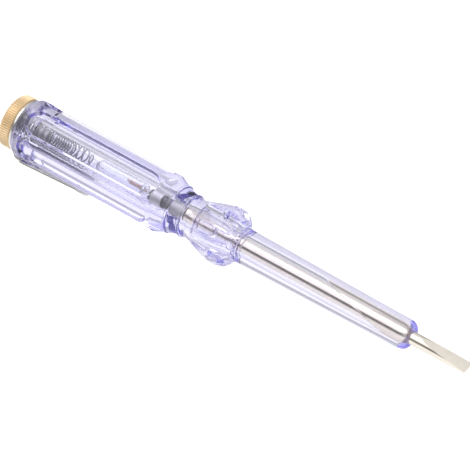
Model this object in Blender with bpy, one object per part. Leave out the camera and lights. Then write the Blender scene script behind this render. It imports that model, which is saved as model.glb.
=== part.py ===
"""Mains voltage tester pen: a clear handle with a glow lamp and a resistor in its bore, and a steel blade.

The pen lies along +X in metres, from the rear face of its screw cap at the origin to the blade's tip.
Every piece is turned or cut about the pen's own axis, so most are placed by one station along X.
"""

import math

import bmesh
import bpy
from mathutils import Vector

# Clearances
seat_gap = 0.0001
fit_gap = 0.0001
cutter_overrun = 0.001

# Screw cap
cap_radius = 0.00625
cap_length = 0.0029
cap_chamfer = 0.0004
knurl_pitch = 0.00055
knurl_depth = 0.00016
stem_radius = 0.0025
thread_pitch = 0.0008
thread_turn_count = 4.5
nose_length = 0.0016
stem_chamfer = 0.0003

# Pocket clip
clip_thickness = 0.0005
clip_width = 0.005
clip_ring_radius = 0.0063
clip_bend_radius = 0.00085
clip_standoff = 0.00035
clip_flat_length = 0.0034
clip_arm_length = 0.0194
clip_lip_length = 0.0022
clip_lip_rise = 0.0005
clip_contact_gap = 0.0003

# Grip
grip_radius = 0.0069
grip_length = 0.0389
grip_edge_radius = 0.0012
flute_count = 6
flute_start = 0.0029
flute_length = 0.0338
flute_width = 0.0054
flute_floor = 0.00605
flute_draft = 0.0001
clip_flute_count = 2

# Neck
neck_radius = 0.00465
neck_length = 0.0082
neck_bead_width = 0.0008
neck_bead_height = 0.00013

# Guard collar
collar_radius = 0.007
collar_rear_length = 0.0075
collar_ring_width = 0.0008
collar_front_length = 0.0049
collar_land_length = 0.0019
collar_nose_radius = 0.0041
lobe_count = 8
notch_width = 0.0026
notch_corner = 0.0006
rear_notch_floor = 0.0059
front_notch_floor = 0.0056

# Blade and its sleeve
blade_radius = 0.00155
blade_length = 0.0767
blade_chamfer = 0.0003
blade_flat_length = 0.0122
blade_tip_thickness = 0.0005
blade_turn_deg = -18.5
web_length = 0.004
sleeve_tail_radius = 0.003
sleeve_root_radius = 0.00402
sleeve_front_radius = 0.00349
sleeve_length = 0.0457
sleeve_front_round = 0.0016

# Contact spring
spring_outer_radius = 0.00168
spring_wire_radius = 0.0002
spring_dense_length = 0.0075
spring_dense_pitch = 0.00085
spring_open_length = 0.0077
spring_open_pitch = 0.00125

# Glow lamp
lamp_radius = 0.0017
lamp_wall = 0.00035
lamp_length = 0.0144
lamp_seal_length = 0.0009
lamp_nib_radius = 0.0005
lamp_nib_length = 0.0006
electrode_radius = 0.0003
electrode_length = 0.004
electrode_spacing = 0.0013
lead_radius = 0.000175
lead_overhang = 0.0009

# Resistor
resistor_radius = 0.0015
resistor_length = 0.0096
resistor_cap_wall = 0.0003
resistor_cap_length = 0.0033

# How finely round shapes are cut
grip_sides = 48
rod_sides = 32
wire_points_per_turn = 10
wire_bevel_resolution = 1
arc_steps = 5
small_arc_steps = 3
collar_steps = 7
smooth_angle_deg = 30

# The grip narrows to the neck, and the collar swells from it and drops to its nose:
# (share of the length, share of the change of radius)
shoulder_shares = ((0.0, 0.0), (0.2, 0.3), (0.44, 0.67), (0.79, 0.93), (1.0, 1.0))
swell_shares = ((0.0, 0.0), (0.19, 0.2), (0.53, 0.6), (0.75, 0.82), (1.0, 1.0))
drop_shares = ((0.0, 0.0), (0.3, 0.1), (0.6, 0.42), (0.85, 0.8), (1.0, 1.0))
bead_place_shares = (0.39, 0.79)
neck_place_shares = (0.0, 0.1, 0.2, 0.3, 0.5, 0.58, 0.68, 0.9, 1.0)

stem_length = thread_turn_count * thread_pitch

# Stations along the pen
clip_ring_station = cap_length + seat_gap
handle_station = clip_ring_station + clip_thickness + seat_gap
neck_station = handle_station + grip_length
collar_station = neck_station + neck_length
ring_station = collar_station + collar_rear_length
collar_front_station = ring_station + collar_ring_width
collar_end_station = collar_front_station + collar_front_length
stem_end_station = handle_station + stem_length
spring_station = stem_end_station + seat_gap
spring_length = spring_dense_length + spring_open_length
lamp_station = spring_station + spring_length + seat_gap + 2 * lead_radius + seat_gap
lamp_end_station = lamp_station + lamp_length
resistor_station = lamp_end_station + lead_overhang + 2 * lead_radius
resistor_end_station = resistor_station + resistor_length
blade_station = resistor_end_station + seat_gap
web_station = blade_station + seat_gap
socket_station = web_station + web_length
sleeve_tail_station = socket_station + seat_gap
sleeve_station = collar_end_station + seat_gap

# Sizes that follow from a neighbour
stem_bore_radius = stem_radius + fit_gap
bore_radius = lamp_radius + 2 * lead_radius + 2 * fit_gap
spring_radius = spring_outer_radius - spring_wire_radius
nose_radius = spring_radius - spring_wire_radius - fit_gap
blade_bore_radius = blade_radius + fit_gap
socket_radius = sleeve_tail_radius + fit_gap
rest_roll = math.pi / lobe_count
flute_angle = math.tau / flute_count
clip_angle = clip_flute_count * flute_angle
clip_middle = grip_radius + clip_standoff
clip_contact = flute_floor + clip_contact_gap + clip_thickness / 2


def clear_scene():
    for old in list(bpy.data.objects):
        bpy.data.objects.remove(old, do_unlink=True)


def material(name, color, roughness, metallic=0.0, transmission=0.0):
    made = bpy.data.materials.new(name)
    made.use_nodes = True
    shader = made.node_tree.nodes["Principled BSDF"]
    shader.inputs["Base Color"].default_value = (*color, 1.0)
    shader.inputs["Roughness"].default_value = roughness
    shader.inputs["Metallic"].default_value = metallic
    shader.inputs["Transmission Weight"].default_value = transmission
    made.diffuse_color = (*color, 1.0)
    return made


def hidden_cutter(obj):
    obj.hide_render = True
    obj.display_type = "WIRE"
    return obj


def add_object(name, data, surface, parent, station=0.0, turn=0.0):
    obj = bpy.data.objects.new(name, data)
    bpy.context.scene.collection.objects.link(obj)
    if surface is not None:
        data.materials.append(surface)
    obj.parent = parent
    obj.location.x = station
    obj.rotation_euler.x = turn
    return obj


def mesh_of(name, build):
    """A mesh filled by build(bmesh), with outward normals and smooth round stretches."""
    data = bpy.data.meshes.new(name)
    shape = bmesh.new()
    build(shape)
    bmesh.ops.recalc_face_normals(shape, faces=shape.faces)
    shape.to_mesh(data)
    shape.free()
    data.shade_smooth()
    data.set_sharp_from_angle(angle=math.radians(smooth_angle_deg))
    return data


def bridge_rings(shape, first, second):
    """Faces between two rings of points, either of which may be one point on the axis."""
    count = max(len(first), len(second))
    for i in range(count):
        corners = [first[i % len(first)], first[(i + 1) % len(first)]]
        corners += [second[(i + 1) % len(second)], second[i % len(second)]]
        shape.faces.new(list(dict.fromkeys(corners)))


def turned(name, outline, sides, closed=False):
    """A solid of revolution about X. outline holds (station, radius) pairs, and a closed one is a ring."""

    def build(shape):
        rings = []
        for station, radius in outline:
            turns = [math.tau * i / sides for i in range(sides)] if radius > 0 else [0.0]
            places = [(station, -radius * math.sin(a), radius * math.cos(a)) for a in turns]
            rings.append([shape.verts.new(place) for place in places])
        pairs = list(zip(rings, rings[1:]))
        if closed:
            pairs.append((rings[-1], rings[0]))
        for first, second in pairs:
            bridge_rings(shape, first, second)

    return mesh_of(name, build)


def arc(middle, radius, start_deg, end_deg, steps=arc_steps):
    """Points of an arc in the (station, radius) plane, with 0 degrees towards +X."""
    turns = [math.radians(start_deg + (end_deg - start_deg) * i / steps) for i in range(steps + 1)]
    return [(middle[0] + radius * math.cos(a), middle[1] + radius * math.sin(a)) for a in turns]


def share_along(shares, place):
    """The second share at a place along the first, on a smooth curve through the table's points."""
    last = len(shares) - 1
    i = 0
    while i < last - 1 and place > shares[i + 1][0]:
        i += 1
    (x0, y0), (x1, y1) = shares[i], shares[i + 1]
    before, after = shares[max(i - 1, 0)], shares[min(i + 2, last)]
    slope0 = (y1 - before[1]) / (x1 - before[0])
    slope1 = (after[1] - y0) / (after[0] - x0)
    t = (place - x0) / (x1 - x0)
    width = x1 - x0
    start, end = (1 + 2 * t) * (1 - t) ** 2, t * t * (3 - 2 * t)
    return start * y0 + end * y1 + width * (t * (1 - t) ** 2 * slope0 - t * t * (1 - t) * slope1)


def bead_rise(place):
    """How far the neck's two beads stand out at a share of the neck's length."""
    half = neck_bead_width / 2 / neck_length
    offset = min(abs(place - share) for share in bead_place_shares) / half
    return neck_bead_height * max(0.0, 1 - offset * offset)


def cut(obj, cutters, operation="DIFFERENCE"):
    for cutter in cutters:
        step = obj.modifiers.new(cutter.name, "BOOLEAN")
        step.operation = operation
        step.object = hidden_cutter(cutter)


def neck_outline():
    """Outer points of the neck, with extra ones over its two beads."""
    half = neck_bead_width / 2 / neck_length
    places = set(neck_place_shares)
    for share in bead_place_shares:
        places |= {share + half * step / 2 for step in range(-2, 3)}
    points = []
    for place in sorted(places):
        change = share_along(shoulder_shares, place) * (neck_radius - grip_radius)
        points.append((grip_length + place * neck_length, grip_radius + change + bead_rise(place)))
    return points


def collar_outline():
    """Outer points of the guard collar: its swell, its ring, its land and its drop to the nose."""
    rear, front = collar_station - handle_station, collar_end_station - handle_station
    land_end = collar_front_station - handle_station + collar_land_length
    points = []
    for i in range(1, collar_steps + 1):
        share = share_along(swell_shares, i / collar_steps)
        radius = neck_radius + share * (collar_radius - neck_radius)
        points.append((rear + collar_rear_length * i / collar_steps, radius))
    for i in range(collar_steps + 1):
        share = share_along(drop_shares, i / collar_steps)
        radius = collar_radius + share * (collar_nose_radius - collar_radius)
        points.append((land_end + (front - land_end) * i / collar_steps, radius))
    return points


def handle_outline():
    """The handle's closed outline about its axis: the outside forwards, then the bores backwards."""
    edge_middle = (grip_edge_radius, grip_radius - grip_edge_radius)
    outside = arc(edge_middle, grip_edge_radius, 180, 90) + neck_outline() + collar_outline()
    front = collar_end_station - handle_station
    socket = socket_station - handle_station
    web = web_station - handle_station
    thread_end = stem_length + seat_gap
    inside = [(front, socket_radius), (socket, socket_radius), (socket, blade_bore_radius)]
    inside += [(web, blade_bore_radius), (web, bore_radius), (thread_end, bore_radius)]
    inside += [(thread_end, stem_bore_radius), (0.0, stem_bore_radius)]
    return outside + inside


def flute_cutter(name, pen, turn):
    """A long flute: a flat floor with round ends, and walls that lean outwards."""
    rise = grip_radius + cutter_overrun - flute_floor
    lean = flute_draft * rise / (grip_radius - flute_floor)
    rear, front = flute_start + flute_width / 2, flute_start + flute_length - flute_width / 2

    def build(shape):
        rings = []
        for height, growth in ((flute_floor, 0.0), (flute_floor + rise, lean)):
            reach = flute_width / 2 + growth
            outline = arc((rear, 0.0), reach, 90, 270, 2 * arc_steps)
            outline += arc((front, 0.0), reach, -90, 90, 2 * arc_steps)
            rings.append([shape.verts.new((x, y, height)) for x, y in outline])
        bridge_rings(shape, *rings)
        for ring in rings:
            shape.faces.new(ring)

    return add_object(name, mesh_of(name, build), None, pen, handle_station, turn)


def notch_cutter(name, pen, turn, start, end, floor):
    """A channel along the collar with rounded corners on its floor, between two stations."""
    half = notch_width / 2
    roof = collar_radius + cutter_overrun
    corner_height = floor + notch_corner
    section = arc((-half + notch_corner, corner_height), notch_corner, 180, 270, small_arc_steps)
    section += arc((half - notch_corner, corner_height), notch_corner, 270, 360, small_arc_steps)
    section += [(half, roof), (-half, roof)]

    def build(shape):
        rear = [shape.verts.new((start, y, z)) for y, z in section]
        front = [shape.verts.new((end, y, z)) for y, z in section]
        bridge_rings(shape, rear, front)
        shape.faces.new(rear)
        shape.faces.new(front)

    return add_object(name, mesh_of(name, build), None, pen, 0.0, turn)


def make_handle(pen):
    clear_violet = material("clear_violet", (0.72, 0.68, 0.93), 0.08, transmission=1.0)
    data = turned("handle_body", handle_outline(), grip_sides, closed=True)
    handle = add_object("handle_body", data, clear_violet, pen, handle_station)
    cutters = []
    for i in range(flute_count):
        cutters.append(flute_cutter(f"flute_cutter_{i}", pen, flute_angle * i))
    for i in range(lobe_count):
        turn = math.tau * (i + 0.5) / lobe_count
        rear_start, front_end = collar_station - cutter_overrun, collar_end_station + cutter_overrun
        rear = (rear_start, ring_station, rear_notch_floor)
        front = (collar_front_station, front_end, front_notch_floor)
        cutters.append(notch_cutter(f"rear_notch_cutter_{i}", pen, turn, *rear))
        cutters.append(notch_cutter(f"front_notch_cutter_{i}", pen, turn, *front))
    cut(handle, cutters)
    return clear_violet


def make_sleeve(pen, clear_violet):
    tail = sleeve_tail_station - sleeve_station
    round_middle = (sleeve_length - sleeve_front_round, sleeve_front_radius - sleeve_front_round)
    outline = [(tail, blade_bore_radius), (tail, sleeve_tail_radius), (0.0, sleeve_tail_radius)]
    outline += [(0.0, sleeve_root_radius)] + arc(round_middle, sleeve_front_round, 90, 0)
    outline += [(sleeve_length, blade_bore_radius)]
    data = turned("blade_sleeve", outline, grip_sides, closed=True)
    add_object("blade_sleeve", data, clear_violet, pen, sleeve_station)


def tip_cutter(pen, side):
    """The waste on one side of the blade's ground flat, as a wedge that reaches past the rod."""
    reach = blade_radius + cutter_overrun
    start, end = blade_length - blade_flat_length, blade_length
    slope = (blade_radius - blade_tip_thickness / 2) / blade_flat_length
    before, after = start - cutter_overrun, end + cutter_overrun
    heights = (blade_radius + slope * cutter_overrun, blade_tip_thickness / 2 - slope * cutter_overrun)
    sides = [(before, heights[0]), (after, heights[1])]

    def build(shape):
        rings = []
        for y in (-reach, reach):
            lower = [shape.verts.new((x, y, side * z)) for x, z in sides]
            upper = [shape.verts.new((x, y, side * 2 * reach)) for x, z in reversed(sides)]
            rings.append(lower + upper)
        bridge_rings(shape, *rings)
        for ring in rings:
            shape.faces.new(ring)

    name = f"blade_tip_cutter_{'upper' if side > 0 else 'lower'}"
    turn = math.radians(blade_turn_deg)
    return add_object(name, mesh_of(name, build), None, pen, blade_station, turn)


def make_blade(pen):
    steel = material("blade_steel", (0.78, 0.76, 0.72), 0.25, metallic=1.0)
    outline = [(0.0, 0.0), (0.0, blade_radius - blade_chamfer), (blade_chamfer, blade_radius)]
    outline += [(blade_length, blade_radius), (blade_length, 0.0)]
    data, turn = turned("blade", outline, rod_sides), math.radians(blade_turn_deg)
    blade = add_object("blade", data, steel, pen, blade_station, turn)
    cut(blade, [tip_cutter(pen, 1), tip_cutter(pen, -1)])


def make_cap(pen):
    """The brass cap: a knurled head, a threaded stem and a nose inside the spring."""
    brass = material("cap_brass", (0.86, 0.66, 0.33), 0.3, metallic=1.0)
    ribs = round(math.tau * cap_radius / knurl_pitch)
    root = cap_radius - knurl_depth
    face = cap_radius - cap_chamfer
    under = cap_length
    outline = [(0.0, 0.0, 0.0), (0.0, face, face), (cap_chamfer - knurl_depth, root, root)]
    outline += [(cap_chamfer, root, cap_radius), (under - cap_chamfer, root, cap_radius)]
    outline += [(under - cap_chamfer + knurl_depth, root, root), (under, face, face)]
    stem_end, nose_end = stem_end_station, stem_end_station + nose_length
    for station, radius in (
        (under, stem_radius),
        (stem_end - stem_chamfer, stem_radius),
        (stem_end, stem_radius - stem_chamfer),
        (stem_end, nose_radius),
        (nose_end - stem_chamfer, nose_radius),
        (nose_end, nose_radius - stem_chamfer),
        (nose_end, 0.0),
    ):
        outline.append((station, radius, radius))

    def build(shape):
        rings = []
        for station, low, high in outline:
            count = 2 * ribs if station <= under and low > stem_radius else rod_sides
            turns = [math.tau * i / count for i in range(count)] if low > 0 else [0.0]
            radii = [high if i % 2 else low for i in range(len(turns))]
            places = [(station, -r * math.sin(a), r * math.cos(a)) for r, a in zip(radii, turns)]
            rings.append([shape.verts.new(place) for place in places])
        for first, second in zip(rings, rings[1:]):
            if len(first) > 1 and len(second) > 1 and len(first) != len(second):
                fill_between(shape, first, second)
            else:
                bridge_rings(shape, first, second)

    cap_axis = bpy.data.objects.new("cap_axis", None)
    bpy.context.scene.collection.objects.link(cap_axis)
    cap_axis.parent = pen
    add_object("end_cap", mesh_of("end_cap", build), brass, cap_axis)


def fill_between(shape, outer, inner):
    """A flat ring of faces between two circles with unlike numbers of points."""
    i = j = 0
    while i < len(outer) or j < len(inner):
        a, b = outer[i % len(outer)], inner[j % len(inner)]
        if j >= len(inner) or (i < len(outer) and (i + 1) * len(inner) <= (j + 1) * len(outer)):
            shape.faces.new((a, b, outer[(i + 1) % len(outer)]))
            i += 1
        else:
            shape.faces.new((a, b, inner[(j + 1) % len(inner)]))
            j += 1


def strip(name, middle_line):
    """A flat strip of the clip's width and thickness along a line in the X-Z plane."""
    half, across = clip_thickness / 2, clip_width / 2

    def build(shape):
        rings = []
        for i, (x, z) in enumerate(middle_line):
            before, after = middle_line[max(i - 1, 0)], middle_line[min(i + 1, len(middle_line) - 1)]
            along = Vector((after[0] - before[0], 0.0, after[1] - before[1])).normalized()
            normal = Vector((-along.z, 0.0, along.x)) * half
            corners = [(x + side * normal.x, y, z + side * normal.z)
                       for side, y in ((-1, -across), (-1, across), (1, across), (1, -across))]
            rings.append([shape.verts.new(corner) for corner in corners])
        for first, second in zip(rings, rings[1:]):
            bridge_rings(shape, first, second)
        shape.faces.new(rings[0])
        shape.faces.new(rings[-1])

    return mesh_of(name, build)


def make_clip(pen):
    """The pressed steel clip: a ring under the cap, a bend over the grip's edge and a sprung arm."""
    nickel = material("clip_nickel", (0.72, 0.72, 0.7), 0.22, metallic=1.0)
    ring_outline = [(0.0, stem_bore_radius), (0.0, clip_ring_radius)]
    ring_outline += [(clip_thickness, clip_ring_radius), (clip_thickness, stem_bore_radius)]
    data = turned("clip_ring", ring_outline, grip_sides, closed=True)
    ring = add_object("clip_ring", data, nickel, pen, clip_ring_station, clip_angle)
    middle = clip_thickness / 2
    bend_middle = (middle + clip_bend_radius, clip_middle - clip_bend_radius)
    tab_start = (middle, (stem_bore_radius + clip_ring_radius) / 2)
    tab_line = [tab_start] + arc(bend_middle, clip_bend_radius, 180, 90)
    data = strip("clip_tab", tab_line)
    tab = add_object("clip_tab", data, nickel, pen, clip_ring_station, clip_angle)
    cut(ring, [tab], "UNION")

    hinge = bpy.data.objects.new("clip_bend", None)
    bpy.context.scene.collection.objects.link(hinge)
    hinge.parent = pen
    hinge.rotation_euler.x = clip_angle
    bend_end = clip_ring_station + middle + clip_bend_radius
    hinge.location = clip_place(bend_end + seat_gap / 2)
    drop = clip_contact - clip_middle
    arm_line = [(seat_gap / 2, 0.0), (clip_flat_length, 0.0)]
    arm_line.append((clip_arm_length - clip_lip_length, drop))
    arm_line.append((clip_arm_length, drop + clip_lip_rise))
    arm_line = rounded_line(arm_line, clip_lip_length / 3)
    add_object("clip_arm", strip("clip_arm", arm_line), nickel, hinge)


def clip_place(station):
    """A point on the clip's middle surface at its bend, in the pen's own axes."""
    return (station, -clip_middle * math.sin(clip_angle), clip_middle * math.cos(clip_angle))


def rounded_line(points, radius):
    """The line with each inner corner drawn as a short curve that starts radius before it."""
    line = [points[0]]
    for before, corner, after in zip(points, points[1:], points[2:]):
        corner = Vector(corner)
        start = corner + (Vector(before) - corner).normalized() * radius
        end = corner + (Vector(after) - corner).normalized() * radius
        for i in range(arc_steps):
            t = i / (arc_steps - 1)
            line.append(tuple((1 - t) ** 2 * start + 2 * t * (1 - t) * corner + t * t * end))
    return line + [points[-1]]


def wire(name, points, radius, surface, parent):
    """A round wire with flat ends through the points."""
    curve = bpy.data.curves.new(name, "CURVE")
    curve.dimensions = "3D"
    curve.bevel_depth = radius
    curve.bevel_resolution = wire_bevel_resolution
    curve.use_fill_caps = True
    spline = curve.splines.new("POLY")
    spline.points.add(len(points) - 1)
    for point, place in zip(spline.points, points):
        point.co = (*place, 1.0)
    spline.use_smooth = True
    return add_object(name, curve, surface, parent)


def spring_points():
    """The helix from the cap's stem to the lamp, dense at the rear and open at the front."""
    dense_turns = (spring_dense_length - spring_wire_radius) / spring_dense_pitch
    open_turns = (spring_open_length - spring_wire_radius) / spring_open_pitch
    steps = round((dense_turns + open_turns) * wire_points_per_turn)
    points = []
    for i in range(steps + 1):
        turn = (dense_turns + open_turns) * i / steps
        along = min(turn, dense_turns) * spring_dense_pitch
        along += max(turn - dense_turns, 0.0) * spring_open_pitch
        angle = math.tau * turn
        across = (spring_radius * math.sin(angle), spring_radius * math.cos(angle))
        points.append(Vector((spring_wire_radius + along, *across)))
    return points


def least_gap(points, radius, points_per_turn):
    """The least free space between stretches of a wire that lie half a turn or more apart."""
    apart = points_per_turn // 2
    nearest = min((a - b).length for i, a in enumerate(points) for b in points[i + apart:])
    return nearest - 2 * radius


def make_spring(pen):
    steel = material("spring_steel", (0.5, 0.5, 0.5), 0.3, metallic=1.0)
    points = spring_points()
    gap = least_gap(points, spring_wire_radius, wire_points_per_turn)
    print(f"contact_spring: least gap to itself {gap * 1000:.2f} mm over {len(points)} points")
    spring = wire("contact_spring", points, spring_wire_radius, steel, pen)
    spring.location.x = spring_station


def make_lamp_glass(pen):
    glass = material("lamp_glass", (0.92, 0.93, 0.95), 0.03, transmission=1.0)
    inner = lamp_radius - lamp_wall
    outline = [(0.0, 0.0)]
    outline += arc((lamp_nib_length, 0.0), lamp_nib_radius, 150, 90, small_arc_steps)
    outline += arc((lamp_nib_length + lamp_radius, 0.0), lamp_radius, 155, 90)
    outline += [(lamp_length, lamp_radius), (lamp_length, 0.0)]
    data = turned("lamp_glass", outline, rod_sides)
    lamp = add_object("lamp_glass", data, glass, pen, lamp_station)
    cavity = arc((lamp_nib_length + lamp_radius, 0.0), inner, 180, 90)
    cavity[0] = (cavity[0][0], 0.0)
    cavity += [(lamp_length - lamp_seal_length, inner), (lamp_length - lamp_seal_length, 0.0)]
    data = turned("lamp_cavity_cutter", cavity, rod_sides)
    hollow = add_object("lamp_cavity_cutter", data, None, pen, lamp_station)
    cutters = [hollow]
    for side in (-1, 1):
        name = f"lamp_lead_cutter_{'upper' if side > 0 else 'lower'}"
        start, end = lamp_length - 2 * lamp_seal_length, lamp_length + cutter_overrun
        radius = lead_radius + fit_gap
        hole = [(start, 0.0), (start, radius), (end, radius), (end, 0.0)]
        # A little turn keeps the hole's corners off the seal's own edges.
        data, off_edge = turned(name, hole, rod_sides // 2), math.pi / rod_sides
        cutter = add_object(name, data, None, pen, lamp_station, off_edge)
        cutter.location.z = side * electrode_spacing / 2
        cutters.append(cutter)
    cut(lamp, cutters)


def make_electrodes(pen):
    nickel = material("electrode_nickel", (0.45, 0.33, 0.28), 0.45, metallic=1.0)
    end = lamp_end_station - lamp_seal_length - seat_gap
    length = electrode_length
    outline = [(0.0, 0.0), (0.0, electrode_radius), (length, electrode_radius), (length, 0.0)]
    for side, name in ((1, "lamp_electrode_upper"), (-1, "lamp_electrode_lower")):
        data = turned(name, outline, rod_sides // 2)
        electrode = add_object(name, data, nickel, pen, end - length)
        electrode.location.z = side * electrode_spacing / 2


def make_leads(pen):
    """One lead runs on to the resistor. The other folds back along the glass and over its nib."""
    copper = material("lead_wire", (0.62, 0.6, 0.58), 0.35, metallic=1.0)
    start = lamp_end_station - lamp_seal_length
    offset = electrode_spacing / 2
    contact = resistor_station - seat_gap - lead_radius
    front_line = [(start, 0.0, offset), (lamp_end_station + lead_radius, 0.0, offset)]
    front_line += [(contact - lead_radius, 0.0, offset - lead_radius), (contact, 0.0, 0.0)]
    front_line.append((contact, 0.0, -offset / 2))
    wire("lamp_lead_front", eased(front_line), lead_radius, copper, pen)

    beside = lamp_radius + fit_gap + lead_radius
    turn_end = lamp_end_station + lead_overhang / 2
    rear = lamp_station - seat_gap - lead_radius
    back_line = [(start, 0.0, -offset), (turn_end - 2 * lead_radius, 0.0, -offset)]
    back_line += [(turn_end, 0.0, -offset - lead_radius), (turn_end, 0.0, -beside + lead_radius)]
    back_line += [(turn_end - 2 * lead_radius, 0.0, -beside), (rear + 2 * lead_radius, 0.0, -beside)]
    back_line += [(rear, 0.0, -beside + 2 * lead_radius), (rear, 0.0, lead_radius)]
    wire("lamp_lead_rear", eased(back_line), lead_radius, copper, pen)


def eased(points):
    """The route with each inner corner split into two, so that the wire bends over a short curve."""
    route = [Vector(points[0])]
    for before, corner, after in zip(points, points[1:], points[2:]):
        corner = Vector(corner)
        for other in (before, after):
            reach = Vector(other) - corner
            route.append(corner + reach.normalized() * min(lead_radius / 2, reach.length / 3))
    return route + [Vector(points[-1])]


def make_resistor(pen):
    coat = material("resistor_coat", (0.03, 0.03, 0.035), 0.5)
    plate = material("resistor_plate", (0.7, 0.7, 0.68), 0.3, metallic=1.0)
    start = resistor_cap_wall + seat_gap
    end = resistor_length - start
    outline = [(start, 0.0), (start, resistor_radius), (end, resistor_radius), (end, 0.0)]
    data = turned("resistor_body", outline, rod_sides)
    add_object("resistor_body", data, coat, pen, resistor_station)
    inner = resistor_radius + fit_gap
    outer = inner + resistor_cap_wall
    round_off = resistor_cap_wall
    cup = [(0.0, 0.0)] + arc((round_off, outer - round_off), round_off, 180, 90, small_arc_steps)
    cup += [(resistor_cap_length, outer), (resistor_cap_length, inner)]
    cup += [(resistor_cap_wall, inner), (resistor_cap_wall, 0.0)]
    for name, station, turn in (
        ("resistor_cap_rear", resistor_station, 0.0),
        ("resistor_cap_front", resistor_end_station, math.pi),
    ):
        cap = add_object(name, turned(name, cup, rod_sides), plate, pen, station)
        cap.rotation_euler.z = turn


def main():
    clear_scene()
    pen = bpy.data.objects.new("pen", None)
    bpy.context.scene.collection.objects.link(pen)
    pen.rotation_euler.x = rest_roll
    clear_violet = make_handle(pen)
    make_sleeve(pen, clear_violet)
    make_blade(pen)
    make_cap(pen)
    make_clip(pen)
    make_spring(pen)
    make_lamp_glass(pen)
    make_electrodes(pen)
    make_leads(pen)
    make_resistor(pen)


main()
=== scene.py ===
# %% [markdown]
# # A mains voltage tester pen
# The pen is a clear violet handle with a glow lamp in its bore, a screw cap with a pocket clip, and a
# sleeved screwdriver blade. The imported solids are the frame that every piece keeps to. Nearly all are drawn
# again here as finely as clear plastic needs, because a facet that nobody sees on a painted part bends
# everything behind it in a clear one.

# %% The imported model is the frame
import math

import bpy
import numpy as np
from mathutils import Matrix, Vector


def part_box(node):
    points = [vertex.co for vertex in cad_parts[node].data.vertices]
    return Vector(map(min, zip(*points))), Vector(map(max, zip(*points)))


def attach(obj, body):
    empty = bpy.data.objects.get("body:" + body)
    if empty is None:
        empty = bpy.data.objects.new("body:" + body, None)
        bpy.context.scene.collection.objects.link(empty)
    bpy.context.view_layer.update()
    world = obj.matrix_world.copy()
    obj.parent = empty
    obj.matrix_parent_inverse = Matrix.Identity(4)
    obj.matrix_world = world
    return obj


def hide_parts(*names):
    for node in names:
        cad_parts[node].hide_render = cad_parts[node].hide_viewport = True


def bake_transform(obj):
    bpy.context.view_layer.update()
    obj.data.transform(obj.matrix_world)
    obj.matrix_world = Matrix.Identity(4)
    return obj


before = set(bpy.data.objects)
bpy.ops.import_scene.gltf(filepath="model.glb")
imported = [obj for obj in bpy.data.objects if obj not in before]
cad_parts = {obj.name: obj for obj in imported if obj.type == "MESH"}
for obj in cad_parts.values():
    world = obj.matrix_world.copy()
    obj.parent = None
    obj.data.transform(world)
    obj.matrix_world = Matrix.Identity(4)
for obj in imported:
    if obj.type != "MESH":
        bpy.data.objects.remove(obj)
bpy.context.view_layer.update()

# %% [markdown]
# ## Measures
# The pen lies along X. Almost all of it is turned on a lathe or in a mould of round parts, so a station
# along X and a radius say most things. Shapes are drawn in millimetres and become metres in one place.

# %% Stations read from the solids
mm = 0.001


def span(node):
    """Where a solid starts and ends along the pen, in millimetres."""
    low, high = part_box(node)
    return low.x / mm, high.x / mm


handle_start, handle_end = span("handle_body")
sleeve_tail, sleeve_end = span("blade_sleeve")
blade_start, blade_end = span("blade")
lamp_start, lamp_end = span("lamp_glass")
resistor_start, resistor_end = span("resistor_cap_rear")[0], span("resistor_cap_front")[1]
print(f"handle {handle_start:.1f} to {handle_end:.1f} mm, blade ends at {blade_end:.1f} mm")

# %% [markdown]
# ## Skins over rings
# A lathe shape could be made with Blender's Screw modifier, and a fluted one with booleans. A grid of rings
# does both and leaves no stray edges: each ring is a round row of points, and its radius may change on the
# way round, so the same helper makes a plain rod, a knurled cap and a fluted grip.

# %% A ring, and a skin over many
def ring(station, radius, turns):
    """Points round the pen's axis. Turns run from the top towards the near side, in radians."""
    station, radius = np.broadcast_arrays(station, radius, turns)[:2]
    return np.stack([station, -radius * np.sin(turns), radius * np.cos(turns)], -1)


def skin(name, grid, closed=False, crease=35.0):
    """A mesh over a grid of rings. An open one gets a flat face at each end, and a closed one is a tube wall."""
    rings, columns = grid.shape[:2]
    here = np.arange(rings * columns).reshape(rings, columns)
    beside = np.roll(here, -1, axis=1)
    ahead, ahead_beside = np.roll(here, -1, axis=0), np.roll(beside, -1, axis=0)
    last = rings if closed else rings - 1
    quads = np.stack([here, beside, ahead_beside, ahead], -1)[:last].reshape(-1, 4).tolist()
    if not closed:
        quads += [here[0][::-1].tolist(), here[-1].tolist()]
    data = bpy.data.meshes.new(name)
    data.from_pydata((grid.reshape(-1, 3) * mm).tolist(), [], quads)
    data.shade_smooth()
    data.set_sharp_from_angle(angle=math.radians(crease))
    return data


def even_turns(count):
    return np.arange(count) * math.tau / count


def turned(name, outline, sides, closed=False, crease=35.0):
    """A lathe shape through (station, radius) pairs."""
    turns = even_turns(sides)
    return skin(name, np.stack([ring(x, r, turns) for x, r in outline]), closed, crease)


def arc(middle, radius, start, end, steps):
    """Points of a rounded edge in the plane of station and radius, with angles in degrees."""
    angles = np.radians(np.linspace(start, end, steps + 1))
    return [(middle[0] + radius * math.cos(a), middle[1] + radius * math.sin(a)) for a in angles]


def smooth(share):
    """Runs from 0 to 1 with a soft start and a soft end."""
    share = np.clip(share, 0.0, 1.0)
    return share * share * (3 - 2 * share)


# %% Placing a piece
def put(name, data):
    """Puts a mesh, a lamp or a camera in the scene."""
    obj = bpy.data.objects.new(name, data)
    bpy.context.scene.collection.objects.link(obj)
    return obj


def add_piece(data, finish, slot, *nodes):
    """Puts a mesh in the scene as the piece that stands for some solids."""
    obj = put(data.name, data)
    data.materials.append(finish)
    if nodes:
        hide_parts(*nodes)
    print(f"{obj.name}: {len(data.polygons)} faces, stands for {', '.join(nodes) or 'nothing'}")
    return obj


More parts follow.
